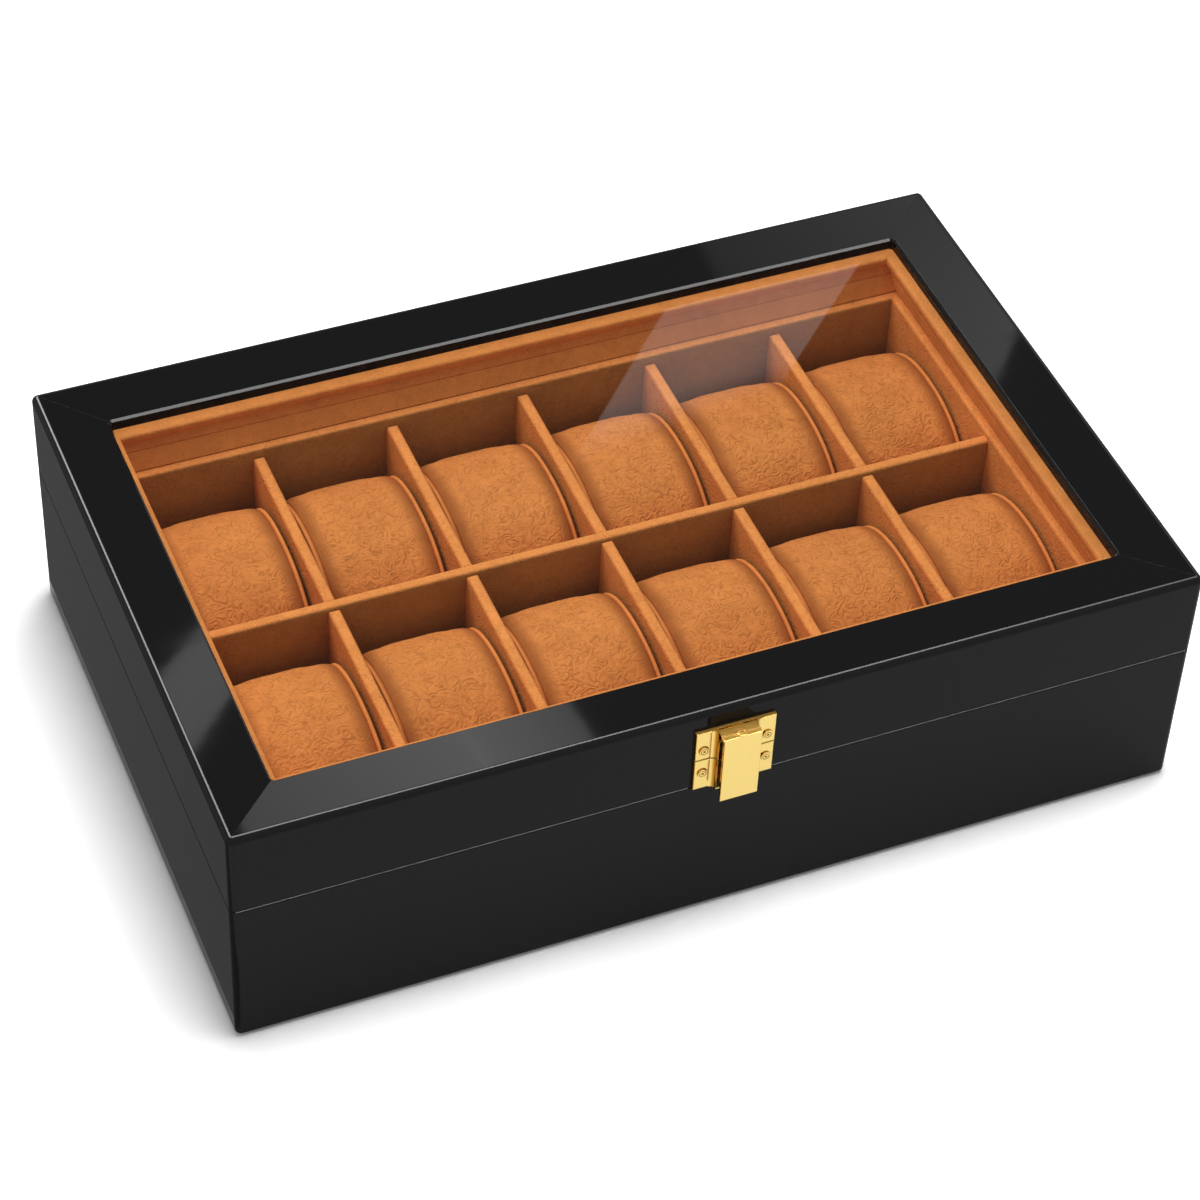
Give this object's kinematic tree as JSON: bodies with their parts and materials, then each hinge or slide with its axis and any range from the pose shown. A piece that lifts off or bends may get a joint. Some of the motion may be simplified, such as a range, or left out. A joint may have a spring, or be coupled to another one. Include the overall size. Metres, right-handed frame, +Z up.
{
  "type": "watch box",
  "caption": "Rectangular black lacquered watch box with a hinged glass-top lid, a gold front latch, and a suede tray of cells that each hold a removable cushion.",
  "frame": {"origin": "centre of the box's footprint, on the surface it stands on", "axes": "+X to the right as seen from the latch side, +Y to the hinges at the back, +Z up"},
  "size_m": [0.33, 0.2245, 0.092],
  "materials": {
    "lacquer": "black high-gloss lacquer over wood",
    "board": "plain fibreboard bottom",
    "felt": "black felt",
    "suede": "tan suede cloth with a fine creased nap",
    "gold": "polished gold-plated brass",
    "glass": "clear flat glass"
  },
  "bodies": {
    "base": {"base_wall_front": "lacquer", "base_wall_back": "lacquer", "base_wall_left": "lacquer", "base_wall_right": "lacquer", "base_bottom_board": "board", "base_felt_sheet": "felt", "tray_liner_front": "suede", "tray_liner_back": "suede", "tray_liner_left": "suede", "tray_liner_right": "suede", "tray_floor_pad": "suede", "tray_divider_long": "suede", "tray_divider_cross_1": "suede", "tray_divider_cross_2": "suede", "tray_divider_cross_3": "suede", "tray_divider_cross_4": "suede", "tray_divider_cross_5": "suede", "hinge_left_base_leaf": "gold", "hinge_right_base_leaf": "gold", "hinge_left_pin": "gold", "hinge_right_pin": "gold", "hinge_screws_base": "gold", "latch_keeper": "gold", "latch_keeper_screw": "gold"},
    "lid": {"lid_frame_front": "lacquer", "lid_frame_back": "lacquer", "lid_frame_left": "lacquer", "lid_frame_right": "lacquer", "lid_glass": "glass", "lid_lining_upper_front": "suede", "lid_lining_upper_back": "suede", "lid_lining_upper_left": "suede", "lid_lining_upper_right": "suede", "lid_lining_lower_front": "suede", "lid_lining_lower_back": "suede", "lid_lining_lower_left": "suede", "lid_lining_lower_right": "suede", "hinge_left_lid_leaf": "gold", "hinge_right_lid_leaf": "gold", "hinge_screws_lid": "gold", "latch_plate_upper": "gold", "latch_plate_lower": "gold", "latch_plate_screws": "gold", "latch_pin": "gold"},
    "latch_lever": {"latch_lever": "gold", "latch_button": "gold"},
    "pillow_back_1": {"pillow_back_1": "suede"},
    "pillow_back_2": {"pillow_back_2": "suede"},
    "pillow_back_3": {"pillow_back_3": "suede"},
    "pillow_back_4": {"pillow_back_4": "suede"},
    "pillow_back_5": {"pillow_back_5": "suede"},
    "pillow_back_6": {"pillow_back_6": "suede"},
    "pillow_front_1": {"pillow_front_1": "suede"},
    "pillow_front_2": {"pillow_front_2": "suede"},
    "pillow_front_3": {"pillow_front_3": "suede"},
    "pillow_front_4": {"pillow_front_4": "suede"},
    "pillow_front_5": {"pillow_front_5": "suede"},
    "pillow_front_6": {"pillow_front_6": "suede"}
  },
  "joints": [
    {"name": "lid_hinge", "type": "hinge", "parent": "base", "child": "lid", "pos_m": [0, 0.109, 0.0593], "axis": [-1, 0, 0], "range_deg": [0, 100]},
    {"name": "latch_pivot", "type": "hinge", "parent": "lid", "child": "latch_lever", "pos_m": [0, -0.1098, 0.08295], "axis": [-1, 0, 0], "range_deg": [0, 35], "stiffness_Nm_per_rad": 0.004, "springref_deg": -17.19},
    {"name": "pillow_back_1_lift", "type": "slide", "parent": "base", "child": "pillow_back_1", "axis": [0, 0, 1], "range_m": [0, 0.014]},
    {"name": "pillow_back_2_lift", "type": "slide", "parent": "base", "child": "pillow_back_2", "axis": [0, 0, 1], "range_m": [0, 0.014]},
    {"name": "pillow_back_3_lift", "type": "slide", "parent": "base", "child": "pillow_back_3", "axis": [0, 0, 1], "range_m": [0, 0.014]},
    {"name": "pillow_back_4_lift", "type": "slide", "parent": "base", "child": "pillow_back_4", "axis": [0, 0, 1], "range_m": [0, 0.014]},
    {"name": "pillow_back_5_lift", "type": "slide", "parent": "base", "child": "pillow_back_5", "axis": [0, 0, 1], "range_m": [0, 0.014]},
    {"name": "pillow_back_6_lift", "type": "slide", "parent": "base", "child": "pillow_back_6", "axis": [0, 0, 1], "range_m": [0, 0.014]},
    {"name": "pillow_front_1_lift", "type": "slide", "parent": "base", "child": "pillow_front_1", "axis": [0, 0, 1], "range_m": [0, 0.014]},
    {"name": "pillow_front_2_lift", "type": "slide", "parent": "base", "child": "pillow_front_2", "axis": [0, 0, 1], "range_m": [0, 0.014]},
    {"name": "pillow_front_3_lift", "type": "slide", "parent": "base", "child": "pillow_front_3", "axis": [0, 0, 1], "range_m": [0, 0.014]},
    {"name": "pillow_front_4_lift", "type": "slide", "parent": "base", "child": "pillow_front_4", "axis": [0, 0, 1], "range_m": [0, 0.014]},
    {"name": "pillow_front_5_lift", "type": "slide", "parent": "base", "child": "pillow_front_5", "axis": [0, 0, 1], "range_m": [0, 0.014]},
    {"name": "pillow_front_6_lift", "type": "slide", "parent": "base", "child": "pillow_front_6", "axis": [0, 0, 1], "range_m": [0, 0.014]}
  ]
}
